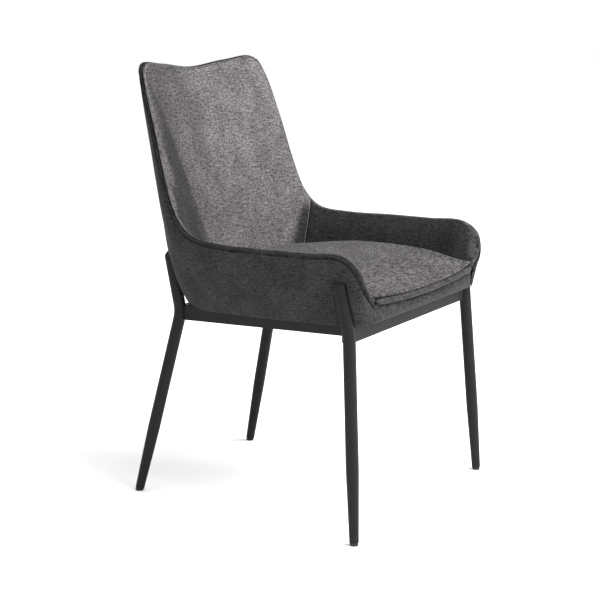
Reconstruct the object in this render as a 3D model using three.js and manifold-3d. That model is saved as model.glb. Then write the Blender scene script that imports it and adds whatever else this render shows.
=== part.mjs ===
// Upholstered dining chair: a bucket shell with low arms on a welded steel tube frame.
// Millimetres, +Z up. The chair faces -Y, so the sitter's left is +X.
// Inside the groups y = 0 is the line of the front legs where they meet the rails.

import * as THREE from "three";
import { mergeVertices } from "three/addons/utils/BufferGeometryUtils.js";
import Module from "manifold-3d";

// ---- Driving dimensions -------------------------------------------------------------

const DEPTH_CENTRE = 247.25; // middle of the chair's depth, measured from the front leg line
const GAP = 0.4; // clearance between pieces that touch

const TUBE_RADIUS = 12.5;
const FOOT_RADIUS = 9.3; // the tube is drawn down to this at the foot
const TUBE_WALL = 1.5;
const TAPER_LENGTH = 145;
const LEG_BEND_LENGTH = 34; // length of tube taken up by the bend at the rails

const FRONT_LEG = {
  foot: [280, -26, 0],
  bend: [257.4, 0, 398],
  top: [272, 15, 503],
};
const REAR_LEG = {
  foot: [217.5, 527, 0],
  bend: [185.3, 435.4, 390],
  top: [200, 449, 511],
};

const GLIDE_RADIUS = 8.2;
const GLIDE_STEM_RADIUS = 7.3;
const GLIDE_STEM_TAPER = 0.6;
const GLIDE_STEM_LENGTH = 26;
const GLIDE_SHOWN = 6; // how far the tube's end stands off the floor, along the leg

const RAIL_HEIGHT = 30;
const RAIL_THICKNESS = 20;
const RAIL_WALL = 1.5;
const RAIL_PROUD = 2; // outer face of a rail beyond the line of leg centres
const FRONT_RAIL_TOP = 416;
const SIDE_RAIL_TOP_FRONT = 431;
const SIDE_RAIL_TOP_REAR = 403.5;

const PLATE_SIDE = 58;
const PLATE_THICKNESS = 3;
const BOARD_THICKNESS = 12;
const DUST_COVER_THICKNESS = 0.8;
const BOLT_RADIUS = 3;
const BOLT_HEAD_RADIUS = 5.6;
const BOLT_HEAD_HEIGHT = 3.6;
const WASHER_RADIUS = 8;
const WASHER_THICKNESS = 1.5;
const TEE_NUT_RADIUS = 9.5;
const TEE_NUT_BARREL = 4.4;
const TEE_NUT_FLANGE = 1.2;

const BAND_RISE = 5; // how far the edge band stands beyond the ends of the two covers
const BAND_EDGE_RISE = 1.5; // the same at the band's two long edges
const LIP_RADIUS = 6;

// Shares of the wall's depth, from the outer face (0) to the inner face (1).
const COVER_DEPTH = 0.28;
const CORE_DEPTH = 0.6;

// ---- Materials ----------------------------------------------------------------------

const steel = new THREE.MeshStandardMaterial({ color: 0x2b2c2e, roughness: 0.55, metalness: 0.3 });
const zinc = new THREE.MeshStandardMaterial({ color: 0xb4b6b8, roughness: 0.35, metalness: 0.9 });
const nylon = new THREE.MeshStandardMaterial({ color: 0x161617, roughness: 0.6, metalness: 0 });
const plywood = new THREE.MeshStandardMaterial({ color: 0xb08a5c, roughness: 0.8, metalness: 0 });
const chenille = new THREE.MeshStandardMaterial({ color: 0x545052, roughness: 0.95, metalness: 0 });
const liner = new THREE.MeshStandardMaterial({ color: 0x1c1c1d, roughness: 0.95, metalness: 0 });

// ---- Solids: joining, cutting and bending -------------------------------------------

const wasm = await Module();
wasm.setup();

function toSolid(geometry) {
  const bare = geometry.clone();
  bare.deleteAttribute("normal");
  bare.deleteAttribute("uv");
  const merged = mergeVertices(bare, 1e-4);
  return new wasm.Manifold(
    new wasm.Mesh({
      numProp: 3,
      vertProperties: merged.attributes.position.array,
      triVerts: new Uint32Array(merged.index.array),
    }),
  );
}

function toGeometry(solid) {
  const mesh = solid.getMesh();
  const geometry = new THREE.BufferGeometry();
  geometry.setAttribute("position", new THREE.BufferAttribute(mesh.vertProperties, 3));
  geometry.setIndex(new THREE.BufferAttribute(mesh.triVerts, 1));
  geometry.computeVertexNormals();
  return geometry;
}

function cut(geometry, cutters) {
  let solid = toSolid(geometry);
  for (const cutter of cutters) solid = solid.subtract(toSolid(cutter));
  return toGeometry(solid);
}

// Moves every vertex of a geometry to where place(x, y, z) says.
function reshape(geometry, place) {
  const positions = geometry.attributes.position;
  for (let i = 0; i < positions.count; i++) {
    const moved = place(positions.getX(i), positions.getY(i), positions.getZ(i));
    positions.setXYZ(i, moved.x, moved.y, moved.z);
  }
  geometry.computeVertexNormals();
  return geometry;
}

// A block whose three sides run from 0 to 1, bent by place(along, depth, height).
function bentBlock(alongSteps, depthSteps, heightSteps, place) {
  const block = new THREE.BoxGeometry(1, 1, 1, alongSteps, depthSteps, heightSteps);
  block.translate(0.5, 0.5, 0.5);
  return reshape(block, place);
}

const chair = new THREE.Group();
chair.position.y = -DEPTH_CENTRE;

function addPiece(name, geometry, material, group = chair) {
  const mesh = new THREE.Mesh(geometry, material);
  mesh.name = name;
  group.add(mesh);
  return mesh;
}

const SIDES = { left: 1, right: -1 };

const point = (xyz, side = 1) => new THREE.Vector3(xyz[0] * side, xyz[1], xyz[2]);

// ---- Legs: drawn steel tube, bent at the rails, capped on the slant at the top --------

const TUBE_SIDES = 24;
const BEND_STEPS = 5;
const CAP_FACE_OUT = 0.62; // the slanted cap faces outwards and up
const CAP_FACE_UP = 0.75;
const CAP_CUTTER = 8 * TUBE_RADIUS;
const CUT_OFF = 2 * TUBE_RADIUS; // spare tube above the cap, removed by the slanted cut
const BORE_OVERRUN = 4; // the bore runs this far out of the tube's open foot

// The stations along a leg, from the foot up: centre and radius at each.
function legStations(leg, side, radiusChange, footShift, topShift) {
  const foot = point(leg.foot, side);
  const bend = point(leg.bend, side);
  const top = point(leg.top, side);
  const down = foot.clone().sub(bend).normalize();
  const up = top.clone().sub(bend).normalize();
  const bendStart = bend.clone().addScaledVector(down, LEG_BEND_LENGTH / 2);
  const bendEnd = bend.clone().addScaledVector(up, LEG_BEND_LENGTH / 2);
  const curve = new THREE.QuadraticBezierCurve3(bendStart, bend, bendEnd);
  const tubeEnd = foot.clone().addScaledVector(down, -GLIDE_SHOWN - footShift);
  const taperEnd = foot.clone().addScaledVector(down, -TAPER_LENGTH);
  const stations = [
    { centre: tubeEnd, along: down.clone().negate(), radius: FOOT_RADIUS + radiusChange },
    { centre: taperEnd, along: down.clone().negate(), radius: TUBE_RADIUS + radiusChange },
  ];
  for (let i = 0; i <= BEND_STEPS; i++) {
    const centre = curve.getPoint(i / BEND_STEPS);
    const along = curve.getTangent(i / BEND_STEPS);
    stations.push({ centre, along, radius: TUBE_RADIUS + radiusChange });
  }
  const end = top.clone().addScaledVector(up, topShift);
  stations.push({ centre: end, along: up, radius: TUBE_RADIUS + radiusChange });
  return stations;
}

// A round bar through the stations, closed at both ends.
function roundBar(stations) {
  const rings = stations.length - 1;
  const bar = new THREE.CylinderGeometry(1, 1, rings, TUBE_SIDES, rings);
  bar.rotateX(Math.PI / 2);
  return reshape(bar, (x, y, z) => {
    const station = stations[Math.round(z + rings / 2)];
    const across = new THREE.Vector3(1, 0, 0).cross(station.along).normalize();
    const sideways = station.along.clone().cross(across).normalize();
    return station.centre
      .clone()
      .addScaledVector(sideways, x * station.radius)
      .addScaledVector(across, -y * station.radius);
  });
}

// Everything beyond the slanted cap of a leg, for cutting the tube off there.
function slantedTop(leg, side, shift) {
  const block = new THREE.BoxGeometry(CAP_CUTTER, CAP_CUTTER, CAP_CUTTER);
  block.translate(0, 0, CAP_CUTTER / 2 + shift);
  const face = new THREE.Vector3(CAP_FACE_OUT * side, 0, CAP_FACE_UP).normalize();
  block.applyQuaternion(new THREE.Quaternion().setFromUnitVectors(new THREE.Vector3(0, 0, 1), face));
  block.translate(leg.top[0] * side, leg.top[1], leg.top[2]);
  return block;
}

function legTube(leg, side) {
  const outside = roundBar(legStations(leg, side, 0, 0, CUT_OFF));
  const bore = roundBar(legStations(leg, side, -TUBE_WALL, -BORE_OVERRUN, CUT_OFF));
  const closedBore = cut(bore, [slantedTop(leg, side, -TUBE_WALL)]);
  return cut(outside, [slantedTop(leg, side, 0), closedBore]);
}

// The room a leg takes up, with clearance, for cutting the pieces beside it.
function legRoom(leg, side) {
  return roundBar(legStations(leg, side, GAP, 0, TUBE_RADIUS));
}

// Nylon plug in the end of the tube, with its foot cut level with the floor.
function glide(leg, side) {
  const profile = [
    new THREE.Vector2(0, -GLIDE_RADIUS),
    new THREE.Vector2(GLIDE_RADIUS, -GLIDE_RADIUS),
    new THREE.Vector2(GLIDE_RADIUS, GLIDE_SHOWN - GAP),
    new THREE.Vector2(GLIDE_STEM_RADIUS, GLIDE_SHOWN - GAP),
    new THREE.Vector2(GLIDE_STEM_RADIUS - GLIDE_STEM_TAPER, GLIDE_SHOWN + GLIDE_STEM_LENGTH),
    new THREE.Vector2(0, GLIDE_SHOWN + GLIDE_STEM_LENGTH),
  ];
  const plug = new THREE.LatheGeometry(profile, TUBE_SIDES);
  const foot = point(leg.foot, side);
  const along = point(leg.bend, side).sub(foot).normalize();
  plug.applyQuaternion(new THREE.Quaternion().setFromUnitVectors(new THREE.Vector3(0, 1, 0), along));
  plug.translate(foot.x, foot.y, foot.z);
  const floor = new THREE.BoxGeometry(8 * GLIDE_RADIUS, 8 * GLIDE_RADIUS, 4 * GLIDE_RADIUS);
  floor.translate(foot.x, foot.y, -2 * GLIDE_RADIUS);
  return cut(plug, [floor]);
}

// ---- Rails: rectangular tube, welded to the inner halves of the legs ------------------

// A bar of width (outwards) by height (up) from start to end; outwards is start-to-end's right.
function bar(start, end, width, height, extra) {
  const along = end.clone().sub(start);
  const length = along.length();
  along.normalize();
  const outwards = new THREE.Vector3().crossVectors(along, new THREE.Vector3(0, 0, 1)).normalize();
  const up = new THREE.Vector3().crossVectors(outwards, along);
  const block = new THREE.BoxGeometry(width + 2 * extra, length + 2 * extra, height + 2 * extra);
  block.translate(RAIL_PROUD - RAIL_THICKNESS / 2, length / 2, -RAIL_HEIGHT / 2);
  block.applyMatrix4(new THREE.Matrix4().makeBasis(outwards, along, up));
  block.translate(start.x, start.y, start.z);
  return block;
}

function rail(start, end, cutters) {
  const outside = bar(start, end, RAIL_THICKNESS, RAIL_HEIGHT, 0);
  const bore = bar(start, end, RAIL_THICKNESS - 2 * RAIL_WALL, RAIL_HEIGHT - 2 * RAIL_WALL, 0);
  const longBore = reshape(bore, (x, y, z) => {
    const middle = start.clone().add(end).multiplyScalar(0.5);
    const along = end.clone().sub(start).normalize();
    const from = new THREE.Vector3(x, y, z).sub(middle);
    return new THREE.Vector3(x, y, z).addScaledVector(along, Math.sign(from.dot(along)));
  });
  return cut(outside, [longBore, ...cutters]);
}

const legCentre = (leg, side, height) => point([leg.bend[0], leg.bend[1], height], side);
const inset = (from, to, distance) => to.clone().sub(from).setLength(distance).add(from);
const RAIL_START = 4; // rails start this far from the leg's centre and are cut to its round

const frontEnds = [legCentre(FRONT_LEG, -1, FRONT_RAIL_TOP), legCentre(FRONT_LEG, 1, FRONT_RAIL_TOP)];
const rearEnds = [legCentre(REAR_LEG, 1, SIDE_RAIL_TOP_REAR), legCentre(REAR_LEG, -1, SIDE_RAIL_TOP_REAR)];
const crossRails = {
  front_rail: { ends: frontEnds, leg: FRONT_LEG },
  rear_rail: { ends: rearEnds, leg: REAR_LEG },
};
const railRooms = [];
for (const [name, { ends, leg }] of Object.entries(crossRails)) {
  const start = inset(ends[0], ends[1], RAIL_START);
  const end = inset(ends[1], ends[0], RAIL_START);
  addPiece(name, rail(start, end, [legRoom(leg, 1), legRoom(leg, -1)]), steel);
  railRooms.push(bar(start, end, RAIL_THICKNESS, RAIL_HEIGHT, GAP));
}

for (const [sideName, side] of Object.entries(SIDES)) {
  const front = legCentre(FRONT_LEG, side, SIDE_RAIL_TOP_FRONT);
  const rear = legCentre(REAR_LEG, side, SIDE_RAIL_TOP_REAR);
  const [first, last] = side > 0 ? [front, rear] : [rear, front];
  const start = inset(first, last, RAIL_START);
  const end = inset(last, first, RAIL_START);
  const cutters = [legRoom(FRONT_LEG, side), legRoom(REAR_LEG, side), ...railRooms];
  addPiece(`${sideName}_rail`, rail(start, end, cutters), steel);
  railRooms.push(bar(start, end, RAIL_THICKNESS, RAIL_HEIGHT, GAP));

  const legs = { front: FRONT_LEG, rear: REAR_LEG };
  for (const [endName, leg] of Object.entries(legs)) {
    addPiece(`${endName}_${sideName}_leg`, legTube(leg, side), steel);
    addPiece(`${endName}_${sideName}_glide`, glide(leg, side), nylon);
  }
}
const legRooms = [FRONT_LEG, REAR_LEG].flatMap((leg) => [legRoom(leg, 1), legRoom(leg, -1)]);

// ---- Wall of the shell ----------------------------------------------------------------
// Stations run from the front corner of the seat, up the arm's front, along the arm, up the
// back's edge and along its top to the middle. Each station holds four points:
// the rim's inner and outer edges, the cover's bottom edge and the lining's bottom edge.

const ARM_HEIGHT = 552;
const EAR_HEIGHT = 890;
const TOP_MIDDLE_HEIGHT = 877;

const STATIONS = [
  {
    inner: [217, -31, 468],
    outer: [225, -34, 449],
    hem: [224, -31, 420],
    root: [203, -20, 447],
  },
  {
    inner: [247, -29, 491],
    outer: [258, -31, 484],
    hem: [244, -20, 422],
    root: [205, -12, 447],
  },
  {
    inner: [261, -17, 530],
    outer: [274, -16, 524],
    hem: [253, -2, 422],
    root: [207, 2, 446],
  },
  {
    inner: [261, 12, ARM_HEIGHT],
    outer: [274, 12, 544],
    hem: [257, 24, 420],
    root: [207, 20, 445],
  },
  {
    inner: [264, 90, ARM_HEIGHT],
    outer: [278, 90, 544],
    hem: [247, 90, 416],
    root: [206, 90, 442],
  },
  {
    inner: [267, 190, ARM_HEIGHT],
    outer: [281, 190, 544],
    hem: [231, 190, 410],
    root: [203, 190, 438],
  },
  {
    inner: [260, 290, ARM_HEIGHT],
    outer: [273, 293, 545],
    hem: [215, 290, 406],
    root: [196, 285, 434],
  },
  {
    inner: [250, 358, 562],
    outer: [260, 369, 557],
    hem: [203, 356, 403],
    root: [182, 345, 432],
  },
  {
    inner: [247, 395, 597],
    outer: [252, 409, 596],
    hem: [190, 395, 401],
    root: [165, 378, 431],
  },
  {
    inner: [242, 424, 668],
    outer: [246, 438, 668],
    hem: [166, 424, 400],
    root: [145, 394, 431],
  },
  {
    inner: [235, 450, 755],
    outer: [238, 464, 755],
    hem: [138, 436, 400],
    root: [120, 402, 431],
  },
  {
    inner: [224, 482, 850],
    outer: [226, 497, 851],
    hem: [104, 442, 400],
    root: [92, 407, 431],
  },
  {
    inner: [207, 498, 886],
    outer: [208, 513, EAR_HEIGHT],
    hem: [80, 444, 400],
    root: [72, 409, 431],
  },
  {
    inner: [120, 512, 885],
    outer: [120, 527, 888],
    hem: [45, 445, 400],
    root: [40, 410, 431],
  },
  {
    inner: [0, 522, TOP_MIDDLE_HEIGHT - 3],
    outer: [0, 537, TOP_MIDDLE_HEIGHT],
    hem: [0, 446, 400],
    root: [0, 410, 431],
  },
];
const LAST = STATIONS.length - 1;
const COVER_SEAM = 11.5; // stations where side pieces meet back pieces, in each layer
const LINING_SEAM = 7.5;
const BAND_SEAM = 12;

// How far the outer face swells out, and the inner face swells in, from front to back.
const OUTER_SWELL = [2, 2, 2, 3, 7, 9, 10, 12, 13, 15, 16, 12, 9, 8, 8];
const INNER_SWELL = [6, 10, 14, 16, 17, 17, 16, 12, 10, 8, 8, 8, 8, 10, 12];

// A curve through one kind of point, from the left front corner round to the right one.
function perimeter(kind) {
  const left = STATIONS.map((station) => point(station[kind]));
  const right = STATIONS.slice(0, LAST).map((station) => point(station[kind], -1));
  return new THREE.CatmullRomCurve3([...left, ...right.reverse()]);
}
const rimInner = perimeter("inner");
const rimOuter = perimeter("outer");
const hem = perimeter("hem");
const root = perimeter("root");

// A station number is 0 at the left front corner, LAST at the back's middle, 2 * LAST at the right.
const at = (curve, station) => curve.getPoint(station / (2 * LAST));

function blend(values, station) {
  const folded = Math.min(station, 2 * LAST - station);
  const low = Math.min(Math.floor(folded), LAST - 1);
  return THREE.MathUtils.lerp(values[low], values[low + 1], folded - low);
}

// Swelling across the height: quick to rise at both edges and full between them.
const swell = (height) => 1 - Math.abs(2 * height - 1) ** 3;

function outwardsAt(station) {
  const outwards = at(rimOuter, station).add(at(hem, station));
  outwards.sub(at(rimInner, station)).sub(at(root, station));
  outwards.z = 0;
  return outwards.normalize();
}

function wallPoint(station, depth, height) {
  const outwards = outwardsAt(station);
  const outer = at(hem, station).lerp(at(rimOuter, station), height);
  outer.addScaledVector(outwards, blend(OUTER_SWELL, station) * swell(height));
  const inner = at(root, station).lerp(at(rimInner, station), height);
  inner.addScaledVector(outwards, -blend(INNER_SWELL, station) * swell(height));
  return outer.lerp(inner, depth);
}

const SEAM_GAP = 0.02; // half the gap between neighbouring pieces, in stations
const STATION_STEP = 0.5; // every layer is bent at the same stations, so that the layers stay clear
const HEIGHT_STEPS = 6;
const LAYER_GAP = 0.045; // gap between layers, as a share of the wall's depth
const CORE_HEIGHTS = [0.2, 0.9]; // the plywood stops short of the rim and stands on the board
const CORE_START = 1.5; // the plywood begins this many stations behind the front corner
const LINING_HEIGHTS = [0.12, 1];

// The stretches of the perimeter taken by the left, back and right pieces of a layer.
const spansOf = (seam) => ({
  left: [0, seam],
  back: [seam, 2 * LAST - seam],
  right: [2 * LAST - seam, 2 * LAST],
});
const stepsAlong = ([from, to]) => Math.round((to - from) / STATION_STEP);

function stationIn([from, to], along) {
  return THREE.MathUtils.clamp(THREE.MathUtils.lerp(from, to, along), from + SEAM_GAP, to - SEAM_GAP);
}

function wallPiece(span, depths, heights) {
  return bentBlock(stepsAlong(span), 1, HEIGHT_STEPS, (along, depth, height) =>
    wallPoint(
      stationIn(span, along),
      THREE.MathUtils.lerp(...depths, depth),
      THREE.MathUtils.lerp(...heights, height),
    ),
  );
}

// ---- Seat board, its fixings and the dust cover: all lie in the slope of the side rails ----

const seatSlope = Math.atan2(SIDE_RAIL_TOP_FRONT - SIDE_RAIL_TOP_REAR, REAR_LEG.bend[1] - FRONT_LEG.bend[1]);
const seatGroup = new THREE.Group();
seatGroup.position.z = SIDE_RAIL_TOP_FRONT;
seatGroup.rotation.x = -seatSlope;
chair.add(seatGroup);

const DUST_COVER_BOTTOM = GAP;
const BOARD_BOTTOM = DUST_COVER_BOTTOM + DUST_COVER_THICKNESS + GAP;
const BOARD_TOP = BOARD_BOTTOM + BOARD_THICKNESS;

// Flat plate cut to the shell's base, pulled in by the given amount.
function basePlate(pullIn, thickness, bottom) {
  const shape = new THREE.Shape();
  const outline = [];
  for (let station = 1; station <= 2 * LAST - 1; station++) {
    const edge = at(hem, station).addScaledVector(outwardsAt(station), -pullIn);
    outline.push(new THREE.Vector2(edge.x, edge.y));
  }
  shape.setFromPoints(outline);
  const plate = new THREE.ExtrudeGeometry(shape, { depth: thickness, bevelEnabled: false });
  plate.translate(0, 0, bottom);
  return plate;
}

const TURNED_SIDES = 16;

function rod(radius, length, x, y) {
  const cylinder = new THREE.CylinderGeometry(radius, radius, length, TURNED_SIDES);
  cylinder.rotateX(Math.PI / 2);
  cylinder.translate(x, y, 0);
  return cylinder;
}

// A turned part from its half section, set at x, y with its foot at bottom.
function turned(profile, x, y, bottom) {
  const lathe = new THREE.LatheGeometry(profile.map(([r, z]) => new THREE.Vector2(r, z)), TURNED_SIDES);
  lathe.rotateX(Math.PI / 2);
  lathe.translate(x, y, bottom);
  return lathe;
}

const FIXING_Y = { front: 52, rear: 382 };
const FIXING_FROM_RAIL = 30;
const HOLE_CLEARANCE = 0.6;
const BOLT_CHAMFER = 1;
const TEE_NUT_HEIGHT = 9; // barrel let into the board, below the flange

const railLean = (FRONT_LEG.bend[0] - REAR_LEG.bend[0]) / (REAR_LEG.bend[1] - FRONT_LEG.bend[1]);
const fixings = [];
for (const [sideName, side] of Object.entries(SIDES)) {
  for (const [endName, y] of Object.entries(FIXING_Y)) {
    const railInside = FRONT_LEG.bend[0] - railLean * y + RAIL_PROUD - RAIL_THICKNESS;
    const x = (railInside - FIXING_FROM_RAIL) * side;
    fixings.push({ name: `${endName}_${sideName}`, side, x, y, railInside });
  }
}

const PLATE_HOLE = BOLT_RADIUS + HOLE_CLEARANCE;
const THROUGH = 40; // length of the rods that cut the holes
for (const { name, side, x, y, railInside } of fixings) {
  // Its outer edge lies along the rail, which leans inwards towards the back.
  const plate = new THREE.BoxGeometry(PLATE_SIDE, PLATE_SIDE, PLATE_THICKNESS);
  reshape(plate, (px, py, pz) => {
    const leant = (railInside - PLATE_SIDE / 2 - 2 * GAP - railLean * py) * side;
    return new THREE.Vector3(px + leant, y + py, pz - PLATE_THICKNESS / 2);
  });
  addPiece(`${name}_corner_plate`, cut(plate, [rod(PLATE_HOLE, THROUGH, x, y)]), steel, seatGroup);

  const washerBottom = -PLATE_THICKNESS - GAP - WASHER_THICKNESS;
  const washer = [
    [PLATE_HOLE, 0],
    [WASHER_RADIUS, 0],
    [WASHER_RADIUS, WASHER_THICKNESS],
    [PLATE_HOLE, WASHER_THICKNESS],
    [PLATE_HOLE, 0],
  ];
  addPiece(`${name}_washer`, turned(washer, x, y, washerBottom), zinc, seatGroup);

  const headBottom = washerBottom - GAP - BOLT_HEAD_HEIGHT;
  const boltTop = BOARD_TOP - headBottom;
  const bolt = [
    [0, 0],
    [BOLT_HEAD_RADIUS - BOLT_CHAMFER, 0],
    [BOLT_HEAD_RADIUS, BOLT_CHAMFER],
    [BOLT_HEAD_RADIUS, BOLT_HEAD_HEIGHT],
    [BOLT_RADIUS, BOLT_HEAD_HEIGHT],
    [BOLT_RADIUS, boltTop - BOLT_CHAMFER],
    [BOLT_RADIUS - BOLT_CHAMFER, boltTop],
    [0, boltTop],
  ];
  addPiece(`${name}_seat_bolt`, turned(bolt, x, y, headBottom), zinc, seatGroup);

  const nut = [
    [BOLT_RADIUS + GAP, 0],
    [TEE_NUT_BARREL, 0],
    [TEE_NUT_BARREL, TEE_NUT_HEIGHT],
    [TEE_NUT_RADIUS, TEE_NUT_HEIGHT],
    [TEE_NUT_RADIUS, TEE_NUT_HEIGHT + TEE_NUT_FLANGE],
    [BOLT_RADIUS + GAP, TEE_NUT_HEIGHT + TEE_NUT_FLANGE],
    [BOLT_RADIUS + GAP, 0],
  ];
  addPiece(`${name}_tee_nut`, turned(nut, x, y, BOARD_TOP + GAP - TEE_NUT_HEIGHT), zinc, seatGroup);
}

const BOARD_PULL_IN = 9;
const DUST_COVER_PULL_IN = 12;
const boardHoles = fixings.map(({ x, y }) => rod(TEE_NUT_BARREL + GAP, THROUGH, x, y));
const board = basePlate(BOARD_PULL_IN, BOARD_THICKNESS, BOARD_BOTTOM);
addPiece("seat_board", cut(board, boardHoles), plywood, seatGroup);
const dustCover = basePlate(DUST_COVER_PULL_IN, DUST_COVER_THICKNESS, DUST_COVER_BOTTOM);
addPiece("dust_cover", cut(dustCover, boardHoles), liner, seatGroup);

// The room the board and dust cover take up, in the chair's own frame.
const boardRoom = basePlate(BOARD_PULL_IN - GAP, BOARD_TOP + 2 * GAP, -GAP);
seatGroup.updateMatrix();
boardRoom.applyMatrix4(seatGroup.matrix);

// ---- Covers, cores and linings of the wall ----------------------------------------------

for (const [place, span] of Object.entries(spansOf(COVER_SEAM))) {
  const cover = wallPiece(span, [0, COVER_DEPTH], [0, 1]);
  addPiece(`${place}_outer_cover`, cut(cover, [...legRooms, ...railRooms, boardRoom]), chenille);
}

const linings = { left: "left_arm_lining", back: "back_lining", right: "right_arm_lining" };
for (const [place, span] of Object.entries(spansOf(LINING_SEAM))) {
  const coreSpan = span.map((end) => THREE.MathUtils.clamp(end, CORE_START, 2 * LAST - CORE_START));
  const core = wallPiece(coreSpan, [COVER_DEPTH + LAYER_GAP, CORE_DEPTH], CORE_HEIGHTS);
  addPiece(`${place}_core`, cut(core, [boardRoom]), plywood);
  const lining = wallPiece(span, [CORE_DEPTH + LAYER_GAP, 1], LINING_HEIGHTS);
  addPiece(linings[place], cut(lining, [boardRoom]), chenille);
}

// ---- Edge band: the strip sewn between outer cover and lining all round the rim ---------

const bands = { left: "left_edge_band", back: "top_edge_band", right: "right_edge_band" };
for (const [place, span] of Object.entries(spansOf(BAND_SEAM))) {
  const band = bentBlock(stepsAlong(span), 2, 1, (along, depth, height) => {
    const station = stationIn(span, along);
    const outer = at(rimOuter, station);
    const inner = at(rimInner, station);
    const tangent = rimInner.getTangent(station / (2 * LAST));
    const out = tangent.cross(inner.clone().sub(outer)).normalize();
    const rise = depth === 0.5 ? BAND_RISE : BAND_EDGE_RISE;
    return outer.lerp(inner, depth).addScaledVector(out, GAP + rise * height);
  });
  addPiece(bands[place], band, chenille);
}

// ---- Seat cushion, front border and the rolled lip between them -------------------------

const SEAT_FRONT = -27;
const SEAT_REAR = 396;
const SEAT_FRONT_HALF_WIDTH = 196;
const SEAT_REAR_HALF_WIDTH = 160;
const SEAT_EDGE_HEIGHT = 499; // along the arms, where the cushion meets the linings
const SEAT_FRONT_HEIGHT = 466; // at the front corners
const SEAT_REAR_DROP = 14; // how much lower the cushion is at the back
const SEAT_CROWN = 9;
const SEAT_FRONT_CROWN = 0.25; // share of the crown left at the front edge
const SEAT_REAR_ROUNDING = 34; // how far the rear corners are drawn forwards
const SEAT_FLARE = 10; // how much wider the cushion is on each side at its top
const FRONT_ROLL = 0.34; // share of the depth over which the front rises
const LIP_SAG = 8; // the front edge hangs this much lower in the middle than at the corners
const SEAT_BASE = BOARD_TOP + TEE_NUT_FLANGE + 3 * GAP;

function seatHeight(across, deep) {
  const rise = THREE.MathUtils.smoothstep(deep, 0, FRONT_ROLL);
  const front = SEAT_FRONT_HEIGHT - LIP_SAG * (1 - across ** 2);
  const hump = Math.sin(Math.PI * Math.min(0.75 * deep + 0.18, 1));
  const crown = SEAT_CROWN * (1 - across ** 4) * hump;
  const drop = SEAT_REAR_DROP * THREE.MathUtils.smoothstep(deep, 0.45, 1);
  const edge = THREE.MathUtils.lerp(front, SEAT_EDGE_HEIGHT - drop, rise);
  return edge + crown * THREE.MathUtils.lerp(SEAT_FRONT_CROWN, 1, rise);
}

const seatCushion = bentBlock(14, 14, 4, (share, deep, high) => {
  const across = 2 * share - 1;
  const rearwards = THREE.MathUtils.smoothstep(deep, 0.55, 1);
  const halfWidth = THREE.MathUtils.lerp(SEAT_FRONT_HALF_WIDTH, SEAT_REAR_HALF_WIDTH, rearwards);
  const x = across * (halfWidth + SEAT_FLARE * high);
  const y = THREE.MathUtils.lerp(SEAT_FRONT, SEAT_REAR, deep) - SEAT_REAR_ROUNDING * across ** 6 * rearwards;
  const bottom = SIDE_RAIL_TOP_FRONT + SEAT_BASE / Math.cos(seatSlope) - y * Math.tan(seatSlope);
  return new THREE.Vector3(x, y, THREE.MathUtils.lerp(bottom, seatHeight(across, deep), high));
});
addPiece("seat_cushion", seatCushion, chenille);

const BORDER_HALF_WIDTH = 220; // at its face; its ends slant back along the ends of the wall
const BORDER_BACK_HALF_WIDTH = 178;
const BORDER_BOTTOM = 420;
const BORDER_TOP = 447;
const BORDER_BACK = -12;
const BORDER_FACE = -30;
const BORDER_SWELL = 5;
const BORDER_SAG = 5;

const frontBorder = bentBlock(14, 2, 4, (share, deep, high) => {
  const across = 2 * share - 1;
  const swelling = BORDER_SWELL * Math.sin(Math.PI * high) * (1 - across ** 8);
  const y = THREE.MathUtils.lerp(BORDER_FACE - swelling, BORDER_BACK, deep);
  const top = BORDER_TOP - BORDER_SAG * (1 - across ** 2);
  const halfWidth = THREE.MathUtils.lerp(BORDER_HALF_WIDTH, BORDER_BACK_HALF_WIDTH, deep);
  return new THREE.Vector3(across * halfWidth, y, THREE.MathUtils.lerp(BORDER_BOTTOM, top, high));
});
addPiece("front_border", cut(frontBorder, [boardRoom, ...legRooms]), chenille);

const LIP_HALF_LENGTH = 209;
const LIP_HEIGHT = 461;
const LIP_Y = -34;
const LIP_BOW = 5; // how far the lip's control point stands forward in the middle
const LIP_HALF_HEIGHT = 4.8;

const lipPath = new THREE.QuadraticBezierCurve3(
  new THREE.Vector3(-LIP_HALF_LENGTH, LIP_Y, LIP_HEIGHT),
  new THREE.Vector3(0, LIP_Y - LIP_BOW, LIP_HEIGHT - 2 * LIP_SAG),
  new THREE.Vector3(LIP_HALF_LENGTH, LIP_Y, LIP_HEIGHT),
);
const lipSection = new THREE.Shape();
lipSection.absellipse(0, 0, LIP_RADIUS, LIP_HALF_HEIGHT, 0, 2 * Math.PI);
const lip = new THREE.ExtrudeGeometry(lipSection, { steps: 16, extrudePath: lipPath, curveSegments: 5 });
addPiece("front_edge_band", lip, chenille);

export default chair;
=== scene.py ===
import functools
import math

import bmesh
import bpy
from mathutils import Euler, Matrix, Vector
from mathutils.bvhtree import BVHTree


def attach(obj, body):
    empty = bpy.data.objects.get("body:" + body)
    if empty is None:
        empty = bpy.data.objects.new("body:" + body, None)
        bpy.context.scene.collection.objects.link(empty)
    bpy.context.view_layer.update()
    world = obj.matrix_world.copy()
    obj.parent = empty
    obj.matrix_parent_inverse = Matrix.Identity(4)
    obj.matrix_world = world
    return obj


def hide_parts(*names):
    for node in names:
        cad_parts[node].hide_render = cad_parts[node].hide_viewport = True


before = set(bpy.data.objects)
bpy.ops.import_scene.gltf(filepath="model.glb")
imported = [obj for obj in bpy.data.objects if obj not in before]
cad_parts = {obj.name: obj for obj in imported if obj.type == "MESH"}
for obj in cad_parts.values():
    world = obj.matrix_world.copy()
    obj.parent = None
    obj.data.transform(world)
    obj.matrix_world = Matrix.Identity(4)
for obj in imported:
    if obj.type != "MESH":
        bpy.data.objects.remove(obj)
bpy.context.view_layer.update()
MM = 0.001

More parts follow.
